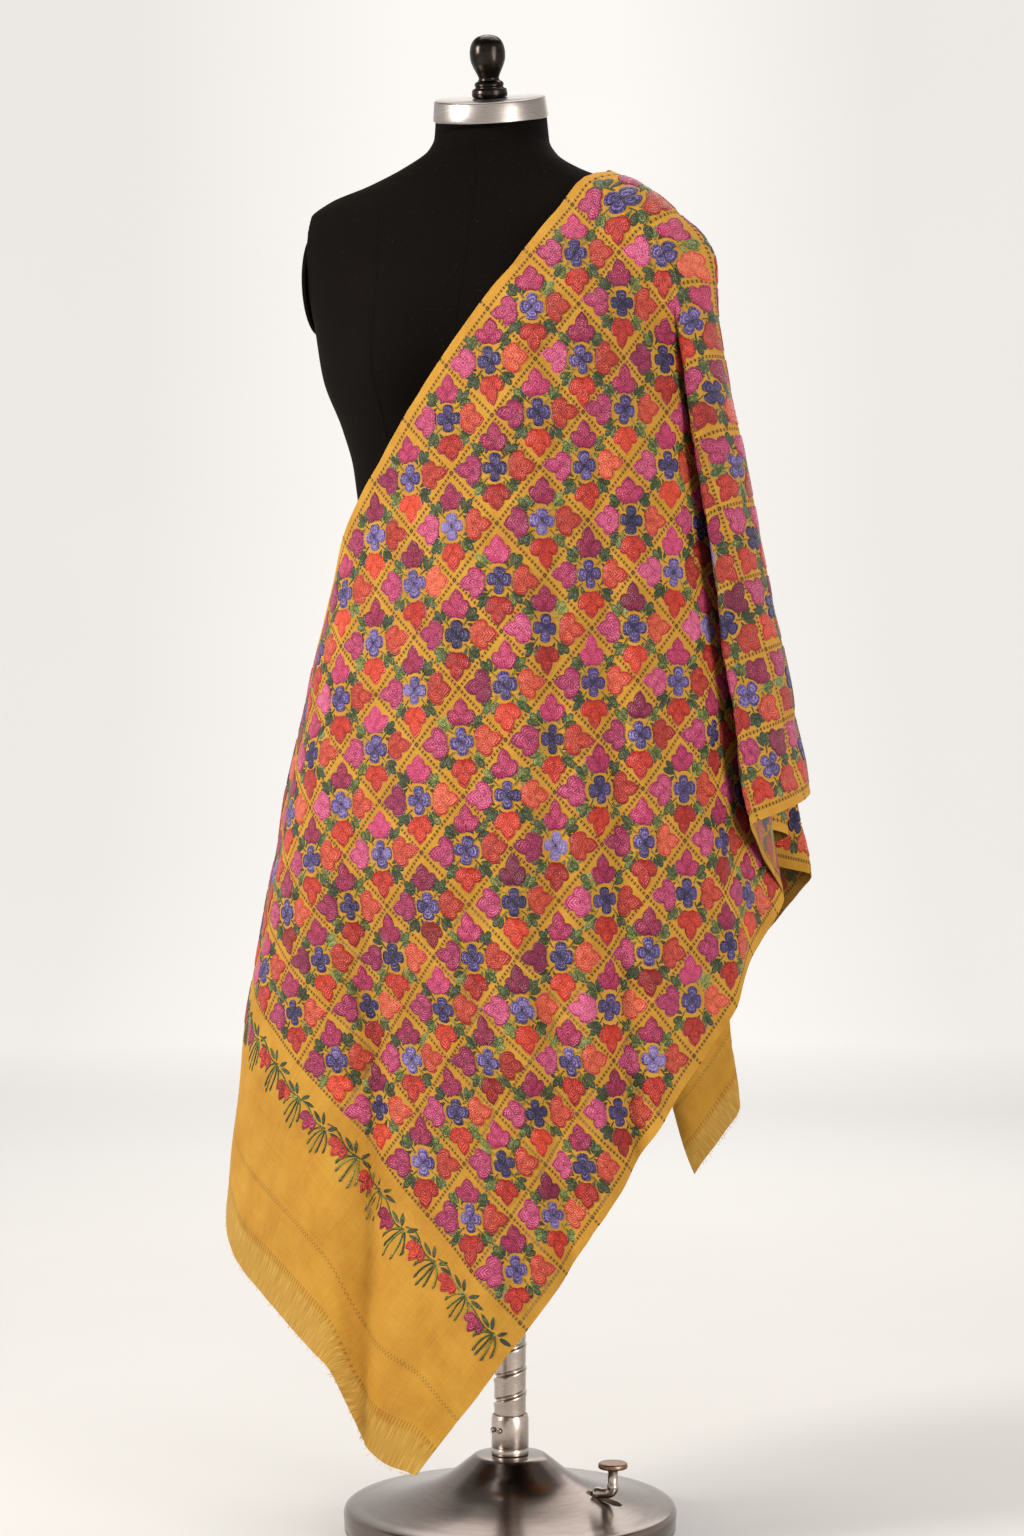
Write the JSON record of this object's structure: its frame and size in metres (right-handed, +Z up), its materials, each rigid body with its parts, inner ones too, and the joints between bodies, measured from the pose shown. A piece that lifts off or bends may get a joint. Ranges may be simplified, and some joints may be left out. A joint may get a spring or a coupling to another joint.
{
  "type": "embroidered stole on dress form",
  "caption": "Long ochre wool stole embroidered with flower squares, hung over one shoulder of a black dress form on a steel stand.",
  "frame": {"origin": "centre of the stand's round foot, on the floor, under the pole", "axes": "+Z up along the pole, -Y to the front of the display, +X to the shoulder that carries the stole"},
  "size_m": [0.6251, 0.4212, 1.5509],
  "materials": {
    "stole_cloth": "matte",
    "form_jersey": "matte",
    "nickel": "satin",
    "gunmetal": "gloss",
    "steel": "polished"
  },
  "bodies": {
    "root": {"stole_front_fall": "stole_cloth", "stole_side_folds": "stole_cloth", "stole_back_fall": "stole_cloth", "form_body": "form_jersey", "arm_plate_left": "form_jersey", "arm_plate_right": "form_jersey", "neck_cap": "nickel", "finial": "gunmetal", "pole": "steel", "collar": "steel", "collar_screw_1": "steel", "collar_screw_2": "steel", "base": "steel"},
    "pedal": {"pedal": "steel"}
  },
  "joints": [
    {"name": "pedal_press", "type": "slide", "parent": "root", "child": "pedal", "axis": [0, 0, -1], "range_m": [0, 0.008], "stiffness_N_per_m": 600, "springref_m": -0.005}
  ]
}
